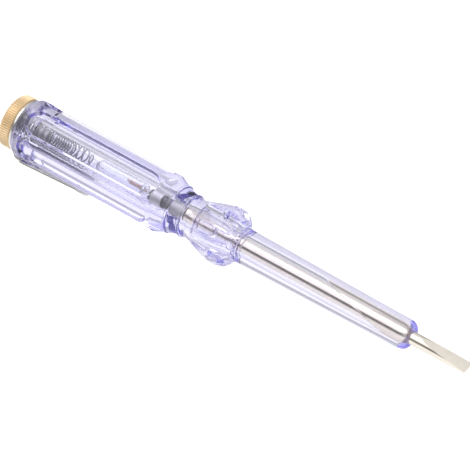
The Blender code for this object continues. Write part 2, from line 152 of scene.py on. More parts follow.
def join_into(piece, data, finish):
    """Adds a second mesh to a piece, as one object."""
    other = put(data.name, data)
    data.materials.append(finish)
    bpy.context.view_layer.update()
    with bpy.context.temp_override(active_object=piece, object=piece, selected_editable_objects=[piece, other]):
        bpy.ops.object.join()


# %% [markdown]
# ## Shared finishes
# Three small node groups carry what more than one finish needs. Each puts out a plain value or colour, and
# the shader itself stays in the material, where an exporter can read it. Nodes that come often have a
# helper, which takes numbers and links alike.

# %% A helper that starts a node group
def new_group(name, inputs, outputs):
    """A node group with its sockets, and its input and output nodes."""
    group = bpy.data.node_groups.new(name, "ShaderNodeTree")
    for label, kind, value in inputs:
        socket = group.interface.new_socket(label, in_out="INPUT", socket_type=kind)
        socket.default_value = value
    for label, kind in outputs:
        group.interface.new_socket(label, in_out="OUTPUT", socket_type=kind)
    return group, group.nodes.new("NodeGroupInput"), group.nodes.new("NodeGroupOutput")


# %% Helpers for the nodes that come often
def link(tree, start, end):
    tree.links.new(start, end)


def feed(tree, socket, value):
    """Gives a socket a link, or else a plain value."""
    if isinstance(value, bpy.types.NodeSocket):
        link(tree, value, socket)
    else:
        socket.default_value = value


def arithmetic(tree, operation, first, second=0.0):
    """One step of arithmetic."""
    node = tree.nodes.new("ShaderNodeMath")
    node.operation = operation
    feed(tree, node.inputs[0], first)
    feed(tree, node.inputs[1], second)
    return node.outputs[0]


def mapped(tree, value, low, high, bottom=0.0, top=1.0, kind="LINEAR"):
    """A value carried from one range to another, and held at its ends."""
    node = tree.nodes.new("ShaderNodeMapRange")
    node.interpolation_type = kind
    labels = ("Value", "From Min", "From Max", "To Min", "To Max")
    for label, number in zip(labels, (value, low, high, bottom, top)):
        feed(tree, node.inputs[label], number)
    return node.outputs["Result"]


def noise(tree, place, scale, detail, **more):
    """A soft random pattern."""
    node = tree.nodes.new("ShaderNodeTexNoise")
    for label, value in {"Vector": place, "Scale": scale, "Detail": detail, **more}.items():
        feed(tree, node.inputs[label], value)
    return node.outputs["Fac"]


def color_mix(tree, share, first, second):
    """Runs from the first colour to the second."""
    node = tree.nodes.new("ShaderNodeMix")
    node.data_type = "RGBA"
    for label, value in (("Factor", share), ("A", first), ("B", second)):
        feed(tree, node.inputs[label], value)
    return node.outputs["Result"]


def coordinate(tree, place, axis):
    node = tree.nodes.new("ShaderNodeSeparateXYZ")
    link(tree, place, node.inputs[0])
    return node.outputs[axis]


def off_axis(tree, place):
    """The distance from the pen's axis, in metres."""
    flat = tree.nodes.new("ShaderNodeVectorMath")
    flat.operation = "MULTIPLY"
    flat.inputs[1].default_value = (0, 1, 1)
    distance = tree.nodes.new("ShaderNodeVectorMath")
    distance.operation = "LENGTH"
    link(tree, place, flat.inputs[0])
    link(tree, flat.outputs[0], distance.inputs[0])
    return distance.outputs["Value"]


# %% [markdown]
# ### Tool lines
# A turned face keeps rings, a drawn wire keeps lines along it, and a ground flat keeps scratches across.
# All are the same noise, squeezed in one direction, so the group takes the squeeze as a vector.

# %% The tool lines group
lines_group, lines_in, lines_out = new_group(
    "tool_lines",
    [
        ("Vector", "NodeSocketVector", (0, 0, 0)),
        ("Squeeze", "NodeSocketVector", (1, 1, 1)),
        ("Fineness", "NodeSocketFloat", 4000.0),
    ],
    [("Height", "NodeSocketFloat")],
)
squeezed = lines_group.nodes.new("ShaderNodeVectorMath")
squeezed.operation = "MULTIPLY"
link(lines_group, lines_in.outputs["Vector"], squeezed.inputs[0])
link(lines_group, lines_in.outputs["Squeeze"], squeezed.inputs[1])
line_height = noise(lines_group, squeezed.outputs[0], lines_in.outputs["Fineness"], 4.0, Roughness=0.6)
link(lines_group, line_height, lines_out.inputs["Height"])
print("tool_lines:", len(lines_group.nodes), "nodes")

# %% [markdown]
# ### Tone drift
# No plating or lacquer has one colour all over. This group moves a colour a little towards a second one
# in soft patches.

# %% The tone drift group
drift_group, drift_in, drift_out = new_group(
    "tone_drift",
    [
        ("Vector", "NodeSocketVector", (0, 0, 0)),
        ("Color", "NodeSocketColor", (0.8, 0.8, 0.8, 1)),
        ("Other", "NodeSocketColor", (0.5, 0.5, 0.5, 1)),
        ("Patch Scale", "NodeSocketFloat", 300.0),
        ("Amount", "NodeSocketFloat", 0.3),
    ],
    [("Color", "NodeSocketColor")],
)
patches = noise(drift_group, drift_in.outputs["Vector"], drift_in.outputs["Patch Scale"], 3.0)
patch_share = mapped(drift_group, patches, 0.35, 0.75, 0.0, drift_in.outputs["Amount"])
drifted = color_mix(drift_group, patch_share, drift_in.outputs["Color"], drift_in.outputs["Other"])
link(drift_group, drifted, drift_out.inputs["Color"])
print("tone_drift:", len(drift_group.nodes), "nodes")

# %% [markdown]
# ### Handling marks
# Fingers leave faint smears that show only as a change of gloss. The group puts out a roughness: the clean
# surface's own, raised in the smears.

# %% The handling marks group
marks_group, marks_in, marks_out = new_group(
    "handling_marks",
    [
        ("Vector", "NodeSocketVector", (0, 0, 0)),
        ("Clean", "NodeSocketFloat", 0.05),
        ("Smeared", "NodeSocketFloat", 0.2),
        ("Smear Scale", "NodeSocketFloat", 180.0),
    ],
    [("Roughness", "NodeSocketFloat")],
)
smears = noise(marks_group, marks_in.outputs["Vector"], marks_in.outputs["Smear Scale"], 5.0, Distortion=0.6)
smear_ends = marks_in.outputs["Clean"], marks_in.outputs["Smeared"]
link(marks_group, mapped(marks_group, smears, 0.45, 0.8, *smear_ends), marks_out.inputs["Roughness"])
print("handling_marks:", len(marks_group.nodes), "nodes")


# %% Helpers that make a finish
def new_finish(name):
    """A material with its shader, and the piece's own coordinates for patterns."""
    made = bpy.data.materials.new(name)
    made.use_nodes = True
    tree = made.node_tree
    place = tree.nodes.new("ShaderNodeTexCoord").outputs["Object"]
    return made, tree, tree.nodes["Principled BSDF"], place


def use_group(tree, group, place, **values):
    """A group in a material, with its own values. Underscores stand for spaces."""
    node = tree.nodes.new("ShaderNodeGroup")
    node.node_tree = group
    link(tree, place, node.inputs["Vector"])
    for label, value in values.items():
        node.inputs[label.replace("_", " ")].default_value = value
    return node


def worn(tree, shader, place, color, other, amount, clean, smeared, patch_scale=300.0):
    """Gives a finish its drift of tone and its smears."""
    colors = {"Color": (*color, 1), "Other": (*other, 1)}
    drift = use_group(tree, drift_group, place, Amount=amount, Patch_Scale=patch_scale, **colors)
    marks = use_group(tree, marks_group, place, Clean=clean, Smeared=smeared)
    link(tree, drift.outputs["Color"], shader.inputs["Base Color"])
    link(tree, marks.outputs["Roughness"], shader.inputs["Roughness"])


def bumped(tree, shader, height, depth):
    """Lets a height shape a finish's normal. Depth is in metres."""
    bump = tree.nodes.new("ShaderNodeBump")
    bump.inputs["Distance"].default_value = depth
    link(tree, height, bump.inputs["Height"])
    link(tree, bump.outputs["Normal"], shader.inputs["Normal"])


def clear_to_lamps(tree, shader, tint=(1, 1, 1)):
    """Lets a lamp's light straight through glass and plastic, with no caustics."""
    straight = tree.nodes.new("ShaderNodeBsdfTransparent")
    straight.inputs["Color"].default_value = (*tint, 1)
    mix = tree.nodes.new("ShaderNodeMixShader")
    link(tree, tree.nodes.new("ShaderNodeLightPath").outputs["Is Shadow Ray"], mix.inputs[0])
    link(tree, shader.outputs[0], mix.inputs[1])
    link(tree, straight.outputs[0], mix.inputs[2])
    link(tree, mix.outputs[0], tree.nodes["Material Output"].inputs["Surface"])


def metal(name, color, other, amount, clean, smeared, squeeze, fineness, depth):
    """A plated or bare metal with its drift of tone, its smears and its tool lines."""
    made, tree, shader, place = new_finish(name)
    shader.inputs["Metallic"].default_value = 1.0
    worn(tree, shader, place, color, other, amount, clean, smeared)
    lines = use_group(tree, lines_group, place, Squeeze=squeeze, Fineness=fineness)
    bumped(tree, shader, lines.outputs["Height"], depth)
    return made, tree, shader, place


# %% [markdown]
# ## Clear violet plastic
# The handle and the sleeve are moulded from one clear plastic with a little violet dye. The dye darkens with
# the length of the way through it, so it is a volume, and the surface itself is nearly clear. A surface tint
# alone would colour a thin rim as much as a thick collar. For lamps the surface lets light straight through,
# which lights what is inside without the noise of true caustics.

# %% The clear violet finish
clear_violet, violet_tree, violet_shader, violet_place = new_finish("clear_violet")
violet_shader.inputs["Transmission Weight"].default_value = 1.0
violet_shader.inputs["IOR"].default_value = 1.49
violet_color, violet_other = (0.977, 0.972, 1.0), (0.96, 0.953, 1.0)
worn(violet_tree, violet_shader, violet_place, violet_color, violet_other, 0.5, 0.015, 0.06, 120.0)
ripple_scale, ripple_depth = 260.0, 0.000012
ripple = noise(violet_tree, violet_place, ripple_scale, 1.0)
bumped(violet_tree, violet_shader, ripple, ripple_depth)
clear_to_lamps(violet_tree, violet_shader, (0.91, 0.895, 0.97))

# %% The dye in the plastic
dye_color, dye_density = (0.28, 0.22, 0.93), 25.0
violet_dye = violet_tree.nodes.new("ShaderNodeVolumeAbsorption")
violet_dye.inputs["Color"].default_value = (*dye_color, 1)
violet_dye.inputs["Density"].default_value = dye_density
link(violet_tree, violet_dye.outputs[0], violet_tree.nodes["Material Output"].inputs["Volume"])
dye_takes = [round(dye_density * (1 - c)) for c in dye_color]
print("clear_violet: dye takes", dye_takes, "per metre in red, green, blue")

# %% [markdown]
# ## The handle
# One moulding holds everything: a grip with six flutes, a neck with two beads, and a guard collar that stops
# the fingers. Its outside is a lathe shape with pockets pressed in, so a ring's radius is the lathe radius
# less the depth of whatever pocket it crosses.

# %% The handle's lathe shape
grip_radius, grip_length, grip_edge = 6.9, 38.9, 1.2
neck_radius, neck_length = 4.65, 8.2
bead_places, bead_width, bead_height = (0.39, 0.79), 0.7, 0.32
collar_radius, swell_length, ring_width = 6.93, 7.5, 0.8
land_length, drop_length, nose_radius = 0.9, 3.2, 4.1
shoulder_shares = ((0.0, 0.0), (0.2, 0.3), (0.44, 0.67), (0.79, 0.93), (1.0, 1.0))
swell_shares = ((0.0, 0.0), (0.19, 0.2), (0.53, 0.6), (0.75, 0.82), (1.0, 1.0))
drop_shares = ((0.0, 0.0), (0.3, 0.1), (0.6, 0.42), (0.85, 0.8), (1.0, 1.0))

neck_start = handle_start + grip_length
swell_start = neck_start + neck_length
ring_start = swell_start + swell_length
ring_end = ring_start + ring_width
drop_start = ring_end + land_length


def share_along(shares, place):
    """A smooth curve through a table of (place, share) pairs."""
    last = len(shares) - 1
    i = 0
    while i < last - 1 and place > shares[i + 1][0]:
        i += 1
    (x0, y0), (x1, y1) = shares[i], shares[i + 1]
    before, after = shares[max(i - 1, 0)], shares[min(i + 2, last)]
    slope0, slope1 = (y1 - before[1]) / (x1 - before[0]), (after[1] - y0) / (after[0] - x0)
    t, width = (place - x0) / (x1 - x0), x1 - x0
    ends = (1 + 2 * t) * (1 - t) ** 2 * y0 + t * t * (3 - 2 * t) * y1
    return ends + width * (t * (1 - t) ** 2 * slope0 - t * t * (1 - t) * slope1)


def handle_radius(station):
    """The handle's outer radius before its pockets are pressed in."""
    if station <= neck_start:
        return grip_radius
    if station <= swell_start:
        place = (station - neck_start) / neck_length
        offset = min(abs(place - bead) for bead in bead_places) * neck_length / (bead_width / 2)
        bead = bead_height * math.sqrt(max(0.0, 1 - offset * offset))
        return grip_radius + share_along(shoulder_shares, place) * (neck_radius - grip_radius) + bead
    if station <= ring_start:
        place = (station - swell_start) / swell_length
        return neck_radius + share_along(swell_shares, place) * (collar_radius - neck_radius)
    if station <= drop_start:
        return collar_radius
    place = min((station - drop_start) / drop_length, 1.0)
    return collar_radius + share_along(drop_shares, place) * (nose_radius - collar_radius)


print(f"ring of the collar at {ring_start:.1f} mm, radius there {handle_radius(ring_start):.2f} mm")

# %% [markdown]
# A pocket has a rim, a wall and a floor. Its depth is written as a function of the distance inside the rim:
# steep at first, then a small cove into the floor. That gives the rounded edges that catch light in the real
# moulding, without a bevel on any edge. A flute's floor is crowned halfway between a flat and the grip's
# own curve, which leaves a low wall all round it.

# %% The pockets pressed into the handle
first_flute, flute_count, first_notch, notch_count = -37.5, 6, -45.0, 8
flute_start, flute_length, flute_half, flute_floor = handle_start + 2.3, 35.7, 3.15, 6.05
flute_crown = 0.5
notch_half, rear_floor, front_floor = 1.3, 5.5, 5.2
flute_rim, flute_cove, notch_rim, notch_cove = 0.3, 0.3, 0.14, 0.2
print(f"{flute_count} flutes {2 * flute_half:.1f} mm wide, {notch_count} notches on each side of the ring")


def nearest_pocket(turns, first, count):
    """The angle from each column to the nearest pocket's middle."""
    pitch = math.tau / count
    return (turns - math.radians(first) + pitch / 2) % pitch - pitch / 2


def pocket_depth(inside, full, rim, cove):
    """Depth at a distance inside the rim, for a pocket of that full depth."""
    full = np.maximum(full, 0.0)
    wall = np.clip(inside / rim + 0.5, 0.0, 1.0)
    wall = wall + 0.25 * (smooth(wall) - wall)
    rounded = np.sqrt(1 - (1 - np.clip(inside / cove, 0, 1)) ** 2)
    share = np.minimum(cove / np.maximum(full, 1e-6), 1.0)
    return full * wall * (1 - share + share * rounded)


def pressed(stations, radii, turns):
    """The radius of every ring at every column, with the pockets pressed in."""
    x, r = np.array(stations)[:, None], np.array(radii)[:, None]
    away = nearest_pocket(turns, first_flute, flute_count)
    across = r * np.sin(away)
    beyond = np.maximum(flute_start + flute_half - x, x - (flute_start + flute_length - flute_half))
    inside = flute_half - np.hypot(np.maximum(beyond, 0.0), across)
    depth = pocket_depth(inside, r - flute_floor / np.cos(flute_crown * away), flute_rim, flute_cove)
    depth = np.where(x < neck_start, depth, 0.0)
    away = nearest_pocket(turns, first_notch, notch_count)
    across = notch_half - np.abs(r * np.sin(away))
    for floor, reach in ((rear_floor, ring_start - x), (front_floor, x - ring_end)):
        inside = np.minimum(across, reach)
        cut = pocket_depth(inside, r - floor / np.cos(away), notch_rim, notch_cove)
        depth = depth + np.where(x > swell_start, cut, 0.0)
    return r - depth


# %% [markdown]
# The columns are close together only where a wall runs along the pen, and the rings only where one runs
# round it. The same number of faces spread evenly would leave each wall with a single jagged step. Flutes and
# notches don't line up, so the columns have one spacing for each, and they shift from one to the other
# along the round neck, where nobody can tell.

# %% Where the handle's rings and columns lie
def pocket_columns(first, count, stops, counts):
    """Column angles round the pen, spaced alike in every pocket. Stops are degrees from a pocket's middle."""
    half = [a for start, end, n in zip(stops, stops[1:], counts) for a in np.linspace(start, end, n, endpoint=False)]
    period = np.array([-stops[-1]] + [-a for a in half[:0:-1]] + half)
    return np.radians((first + 360.0 / count * np.arange(count)[:, None] + period).ravel())


def stretch(start, end, step):
    """Stations from start up to but not at end, no further apart than step."""
    return list(np.linspace(start, end, max(2, math.ceil((end - start) / step) + 1))[:-1])


flute_end = flute_start + flute_length
first_bead, second_bead = (neck_start + place * neck_length for place in bead_places)
# Where each stretch of rings starts, and how far apart its rings lie at most.
stretches = (
    (handle_start + grip_edge, 0.8), (flute_start - 0.4, 0.1), (flute_start + 0.8, 0.16),
    (flute_start + flute_half + 0.2, 2.2), (flute_end - flute_half - 0.2, 0.16), (flute_end - 0.8, 0.1),
    (flute_end + 0.4, 0.6), (neck_start, 0.2), (first_bead - 0.5, 0.05), (first_bead + 0.5, 0.2),
    (second_bead - 0.5, 0.05), (second_bead + 0.5, 0.2), (swell_start, 0.4), (ring_start - 0.6, 0.075),
    (ring_start + 0.15, 0.25), (ring_end - 0.15, 0.075), (ring_end + 0.6, 0.32), (handle_end, 0.0),
)
outer_stations = [x for (a, step), (b, _) in zip(stretches, stretches[1:]) for x in stretch(a, b, step)]
outer_stations.append(handle_end)
columns = pocket_columns(first_flute, flute_count, (0.0, 21.5, 30.0), (14, 14))
notch_columns = pocket_columns(first_notch, notch_count, (0.0, 9.6, 13.2, 22.5), (6, 10, 5))
shift = smooth((np.array(outer_stations)[:, None] - neck_start) / neck_length)
outer_columns = columns + (notch_columns - columns) * shift
print(len(outer_stations), "rings outside,", len(columns), "columns")

# %% [markdown]
# ### The bore
# Inside are a threaded mouth for the cap, the long bore for the lamp, a web that grips the blade and a
# socket for the sleeve's tail. The thread is a ripple in the radius that climbs one pitch each turn.

# %% The thread's ripple and the bore's rings
thread_pitch, stem_crest, thread_depth = 0.8, 2.5, 0.38
thread_end = handle_start + 3.6
bore_radius, web_start, web_end = 2.45, blade_start + 0.1, sleeve_tail - 0.1
blade_bore, socket_radius = 1.65, 3.1


def thread_radius(stations, turns, crest):
    """A right-hand thread: the radius at each station and turn, with rounded crests and roots."""
    phase = math.tau * (np.array(stations)[:, None] / thread_pitch) - turns[None, :]
    hill = 0.5 + 0.5 * np.cos(phase)
    return crest - thread_depth * (1 - smooth(hill))


thread_stations = stretch(handle_start, thread_end, 0.12) + [thread_end]
inner_outline = [(handle_end, socket_radius), (web_end, socket_radius), (web_end, blade_bore)]
inner_outline += [(web_start, blade_bore), (web_start, bore_radius), (thread_end + 0.1, bore_radius)]

rear_edge = arc((handle_start + grip_edge, grip_radius - grip_edge), grip_edge, 180, 90, 9)[:-1]
outer_grid = pressed(outer_stations, [handle_radius(x) for x in outer_stations], outer_columns)
thread_grid = thread_radius(thread_stations, columns, stem_crest + 0.1)
handle_rings = [ring(x, r, columns) for x, r in rear_edge]
handle_rings += [ring(x, radii, turns) for x, radii, turns in zip(outer_stations, outer_grid, outer_columns)]
handle_rings += [ring(x, r, columns) for x, r in inner_outline]
handle_rings += [ring(x, radii, columns) for x, radii in zip(reversed(thread_stations), thread_grid[::-1])]
handle_data = skin("handle_moulding", np.stack(handle_rings), closed=True)
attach(add_piece(handle_data, clear_violet, "clear_violet", "handle_body"), "handle")

# %% [markdown]
# ## The sleeve
# The sleeve is moulded on to the blade. Where the plastic touches the steel there is no air between them, and
# the blade looks half as wide again as its bare end: the round plastic is a lens. Towards the handle it has
# let go, and the air film there shines like a mirror. So the bore is drawn a hair inside the steel at the
# front and a hair outside it at the rear, and the edge between the two runs slanting round the blade.

# %% The sleeve's lathe shape
sleeve_start, tail_radius = handle_end + 0.1, 3.0
root_radius, front_radius, front_round, steel_radius = 4.02, 3.49, 1.6, 1.55
sleeve_outline = arc((sleeve_tail + 0.2, tail_radius - 0.2), 0.2, 180, 90, 3) + [(sleeve_start, tail_radius)]
sleeve_outline += arc((sleeve_start + 0.15, root_radius - 0.15), 0.15, 180, 90, 4)
front_middle = (sleeve_end - front_round, front_radius - front_round)
sleeve_outline += arc(front_middle, front_round, 90, 0, 14)
print(f"sleeve from {sleeve_start:.1f} to {sleeve_end:.1f} mm")

# %% Where the sleeve has let go of the steel
hug_radius, loose_radius, sleeve_turns = steel_radius - 0.04, steel_radius + 0.09, even_turns(160)
edge_middle, edge_slant, edge_turn = 94.5, 8.5, math.radians(52)


def bore_ring(station):
    """The sleeve's bore: loose at the rear, tight at the front, with a slanting edge between."""
    edge = edge_middle - edge_slant * np.cos(sleeve_turns + edge_turn)
    tight = smooth((station - edge) / 0.8 + 0.5)
    return ring(station, loose_radius + (hug_radius - loose_radius) * tight, sleeve_turns)


bore_stations = [sleeve_end, 104.5] + list(np.linspace(104.0, 85.0, 58)) + [84.5, sleeve_tail]
sleeve_rings = [ring(x, r, sleeve_turns) for x, r in sleeve_outline] + [bore_ring(x) for x in bore_stations]
sleeve_data = skin("sleeve_moulding", np.stack(sleeve_rings), closed=True)
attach(add_piece(sleeve_data, clear_violet, "clear_violet", "blade_sleeve"), "handle")

# %% [markdown]
# ## The blade
# A nickel plated steel rod with two flats ground to a 0.5 mm tip. A boolean would cut the flats, but pushing
# each ring's points down on to the wedge keeps the mesh clean.

# %% The blade's finish and shape
blade_steel, *_ = metal(
    "blade_steel", (0.84, 0.785, 0.7), (0.7, 0.65, 0.58), 0.5, 0.12, 0.24, (0.03, 1, 1), 9000.0, 0.000004
)
flat_start, tip_half = blade_end - 12.2, 0.25
blade_turns = even_turns(144)
flat_turn = math.radians(4.0)


def blade_section(station):
    """The rod's ring at a station, pushed down on to the ground flats."""
    limit = steel_radius
    if station > flat_start:
        limit += (tip_half - steel_radius) * (station - flat_start) / (blade_end - flat_start)
    across, up = steel_radius * np.sin(blade_turns), steel_radius * np.cos(blade_turns)
    up = np.clip(up, -limit, limit)
    y = -(across * math.cos(flat_turn) + up * math.sin(flat_turn))
    z = up * math.cos(flat_turn) - across * math.sin(flat_turn)
    return np.stack([np.full_like(y, station), y, z], -1)


blade_rings = [ring(x, r, blade_turns) for x, r in ((blade_start, 1.25), (blade_start + 0.3, steel_radius))]
blade_rings += [blade_section(x) for x in [flat_start - 0.01] + list(np.linspace(flat_start, blade_end, 42))]
blade_data = skin("blade_rod", np.stack(blade_rings), crease=12.0)
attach(add_piece(blade_data, blade_steel, "blade_steel", "blade"), "handle")

# %% [markdown]
# ## The screw cap
# A turned brass cap closes the handle, and the user's thumb rests on it. Straight knurls round its rim give
# grip. The grooves are painted darker, a painted shade, by a mask that reads the distance from the axis.

# %% The cap's finish
cap_brass, cap_tree, cap_shader, cap_place = metal(
    "cap_brass", (0.84, 0.675, 0.45), (0.77, 0.6, 0.39), 0.5, 0.48, 0.6, (1, 0.2, 0.2), 5000.0, 0.000004
)
cap_radius, knurl_depth, knurl_count = 6.25, 0.17, 71
groove_shade_color, stem_shade_color = (0.7, 0.5, 0.28, 1), (0.42, 0.4, 0.4, 1)
groove_root, groove_top = (cap_radius - knurl_depth) * mm, (cap_radius - 0.3 * knurl_depth) * mm
cap_tone = cap_shader.inputs["Base Color"].links[0].from_socket
# Painted shade: the knurl grooves are painted darker than the crests, set by the distance from the axis.
out_of_groove = mapped(cap_tree, off_axis(cap_tree, cap_place), groove_root, groove_top)
knurl_tone = color_mix(cap_tree, out_of_groove, groove_shade_color, cap_tone)

# %% The stem and nose are painted dark grey, a painted shade for their place in the bore
brass_end, stem_shade_start = 2.92 * mm, 2.98 * mm
on_stem = mapped(cap_tree, coordinate(cap_tree, cap_place, "X"), brass_end, stem_shade_start)
link(cap_tree, color_mix(cap_tree, on_stem, knurl_tone, stem_shade_color), cap_shader.inputs["Base Color"])
print("cap_brass:", len(cap_tree.nodes), "nodes")

# %% The cap's head, stem and nose
cap_length, cap_chamfer, stem_end = 2.9, 0.4, thread_end
nose_radius_end, nose_length = 1.6, 3.6
cap_turns = even_turns(knurl_count * 8)
ribs = smooth(0.5 + 0.62 * np.cos(cap_turns * knurl_count))


def knurled(depth_share):
    """The rim's radius at every column, with the knurls cut to a share of their depth."""
    return cap_radius - knurl_depth + knurl_depth * depth_share * ribs


head = [(0.12, 0.6), (0.12, 2.4), (0.02, 2.9), (0.0, 3.2), (0.0, cap_radius - cap_chamfer)]
cap_rings = [ring(x, r, cap_turns) for x, r in head]
rim_half = ((0.13, 0.0), (0.23, 0.15), (0.34, 0.75), (0.46, 1.0))
rim = (*rim_half, (cap_length / 2, 1.0), *((cap_length - x, share) for x, share in reversed(rim_half)))
for station, share in rim:
    taper = cap_chamfer * max(0.0, 0.3 - min(station, cap_length - station))
    cap_rings.append(ring(station, knurled(share) - taper, cap_turns))
cap_rings += [ring(cap_length, cap_radius - cap_chamfer, cap_turns), ring(cap_length, stem_crest - 0.25, cap_turns)]
stem_stations = stretch(cap_length + 0.25, stem_end - 0.15, 0.1) + [stem_end - 0.15]
stem_radii = thread_radius(stem_stations, cap_turns, stem_crest)
cap_rings += [ring(x, radii, cap_turns) for x, radii in zip(stem_stations, stem_radii)]
nose = [(stem_end, stem_crest - 0.4), (stem_end, nose_radius_end), (stem_end + nose_length - 0.3, nose_radius_end)]
nose += [(stem_end + nose_length, nose_radius_end - 0.3)]
cap_rings += [ring(x, r, cap_turns) for x, r in nose]
cap_data = skin("cap_turned", np.stack(cap_rings), crease=28.0)
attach(add_piece(cap_data, cap_brass, "cap_brass", "end_cap"), "cap")

# %% [markdown]
# ## The pocket clip
# One pressing of nickel plated spring steel: a ring that the cap clamps, a bend over the handle's edge and an
# arm that lies along a flute. Past a corner the arm slopes down towards the flute. The ring is pressed on to
# the plastic with no air between, so its face is drawn a hair inside the handle, and near the rim the face is
# painted near black, a painted shade that shows dark through the plastic.

# %% The clip's finish, with painted shade where its ring presses on the plastic
clip_nickel, clip_tree, clip_shader, clip_place = metal(
    "clip_nickel", (0.74, 0.73, 0.7), (0.5, 0.49, 0.47), 0.5, 0.16, 0.3, (0.05, 1, 1), 7000.0, 0.000004
)
# Painted shade: near black on the ring's front face, in a band about 5.7 mm from the axis.
pressed_shade_color, band_middle, band_dark, band_edge = (0.05, 0.035, 0.07, 1), 5.7, 0.46, 0.52
plain_tone = clip_shader.inputs["Base Color"].links[0].from_socket
face_start, face_end = (handle_start - 0.03) * mm, (handle_start - 0.01) * mm
on_face = mapped(clip_tree, coordinate(clip_tree, clip_place, "X"), face_start, face_end)
off_band = arithmetic(clip_tree, "SUBTRACT", off_axis(clip_tree, clip_place), band_middle * mm)
from_band = arithmetic(clip_tree, "ABSOLUTE", off_band)
in_band = mapped(clip_tree, from_band, band_dark * mm, band_edge * mm, 1.0, 0.0)
pressed_shade_share = arithmetic(clip_tree, "MULTIPLY", on_face, in_band)
link(clip_tree, color_mix(clip_tree, pressed_shade_share, plain_tone, pressed_shade_color), clip_shader.inputs["Base Color"])
print("clip_nickel:", len(clip_tree.nodes), "nodes")

# %% The clip's strip, drawn with rounded edges
clip_turn = math.radians(22.5 + 120.0)
clip_start, clip_thickness, clip_width, clip_middle = span("clip_ring")[0], 0.5, 5.0, 7.25
bend_radius, clip_ring_radius, tab_half = 1.7, 6.2, 1.2
arm_start = clip_start + clip_thickness / 2 + bend_radius
arm_end = span("clip_arm")[1]
arm_drop = clip_middle - (flute_floor + 0.3 + clip_thickness / 2)
tab_foot, corner_length, lip_length, lip_lift, shoulder_length = 4.4, 2.6, 2.2, 0.5, 0.9
print(f"clip arm from {arm_start:.2f} to {arm_end:.2f} mm")


def strip_section(half_width):
    """The clip strip's outline: a flat bar with rounded edges, as (across, up) pairs."""
    half, small = clip_thickness / 2, 0.12
    corner = [(small * math.cos(a), small * math.sin(a)) for a in np.radians((0, 30, 60, 90))]
    quarter = [(half_width - small + c, half - small + s) for c, s in corner]
    top = quarter + [(-y, z) for y, z in reversed(quarter)]
    return np.array(top + [(-y, -z) for y, z in top])


def place_about_axis(points, turn):
    """Turns points about the pen's axis."""
    y, z = points[..., 1], points[..., 2]
    turned_y = y * math.cos(turn) - z * math.sin(turn)
    turned_z = y * math.sin(turn) + z * math.cos(turn)
    return np.stack([points[..., 0], turned_y, turned_z], -1)


def clip_line():
    """The strip's middle line as (station, distance from the axis, half width)."""
    bend = [(x, z, tab_half) for x, z in arc((arm_start, clip_middle - bend_radius), bend_radius, 180, 90, 10)]
    line = [(clip_start + clip_thickness / 2, tab_foot, tab_half)] + bend
    corner_x, lip_x = arm_start + corner_length, arm_end - lip_length
    for x in np.linspace(arm_start + 0.15, arm_end - 0.02, 60):
        slope = arm_drop * np.clip((x - corner_x) / (lip_x - corner_x), 0, 1)
        lift = lip_lift * np.clip((x - lip_x) / (arm_end - lip_x), 0, 1) ** 1.3
        tip = np.clip((arm_end - x) / lip_length, 0.0, 1.0)
        shoulder = tab_half + (clip_width / 2 - tab_half) * smooth((x - arm_start - 0.3) / shoulder_length)
        half = shoulder * (0.25 + 0.75 * math.sqrt(1 - (1 - tip) ** 2))
        line.append((x, clip_middle - slope + lift, half))
    return line


middle_line = np.array(clip_line())
ahead = np.gradient(middle_line[:, :2], axis=0)
ahead /= np.linalg.norm(ahead, axis=1)[:, None]
clip_rings = []
for (x, z, half), (dx, dz) in zip(middle_line, ahead):
    section = strip_section(half)
    clip_rings.append(np.stack([x - dz * section[:, 1], section[:, 0], z + dx * section[:, 1]], -1))
arm_data = skin("clip_strip", place_about_axis(np.stack(clip_rings)[:, ::-1], clip_turn), crease=40.0)
ring_front = handle_start + 0.02
ring_outline = [(clip_start, 2.6), (clip_start, clip_ring_radius - 0.12)]
ring_outline += arc((clip_start + 0.12, clip_ring_radius - 0.12), 0.12, 150, 90, 2)
ring_outline += arc((ring_front - 0.12, clip_ring_radius - 0.12), 0.12, 90, 0, 3)
ring_outline += [(ring_front, 2.6)]
clip_data = turned("clip_pressing", ring_outline, 160, closed=True, crease=40.0)

# %% The ring and the strip become one piece
clip_pressing = add_piece(clip_data, clip_nickel, "clip_nickel", "clip_ring", "clip_arm")
join_into(clip_pressing, arm_data, clip_nickel)
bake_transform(clip_pressing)
print("clip_pressing:", len(clip_pressing.data.polygons), "faces with its strip")

# %% [markdown]
# ## The contact spring
# A coil of steel wire carries the current from the cap to the lamp and holds the lamp forward. Its middle
# turns lie close and the ones at its ends are open. It is a tube along a helix.

# %% The spring's helix
spring_steel, *_ = metal(
    "spring_steel", (0.34, 0.34, 0.38), (0.18, 0.18, 0.22), 0.6, 0.2, 0.35, (1, 1, 1), 3000.0, 0.000003
)
coil_start, coil_end = span("contact_spring")
wire_radius, coil_radius = 0.17, 2.05
close_start, close_end, close_pitch, open_pitch = 11.0, 17.0, 0.65, 1.45


def coil_path(steps_per_turn):
    """The helix as stations and angles. The pitch opens smoothly on both sides of the close turns."""
    station, angle, places = coil_start + wire_radius, 0.0, []
    while station < coil_end - wire_radius:
        places.append((station, angle))
        share = float(smooth(max(close_start + 0.5 - station, station - close_end + 0.8) / 1.6))
        station += (close_pitch + (open_pitch - close_pitch) * share) / steps_per_turn
        angle += math.tau / steps_per_turn
    return np.array(places)


def tube(name, path, radius, sides):
    """A round wire along a path of points, with its own frame carried from ring to ring."""
    path = np.array(path, float)
    ahead = np.gradient(path, axis=0)
    ahead /= np.linalg.norm(ahead, axis=1)[:, None]
    turns, side = even_turns(sides), np.array((0.31, 0.55, 0.77))
    rings = []
    for point, forward in zip(path, ahead):
        side = side - forward * np.dot(side, forward)
        side /= np.linalg.norm(side)
        other = np.cross(forward, side)
        rings.append(point + radius * (np.cos(turns)[:, None] * side + np.sin(turns)[:, None] * other))
    return skin(name, np.stack(rings), crease=50.0)


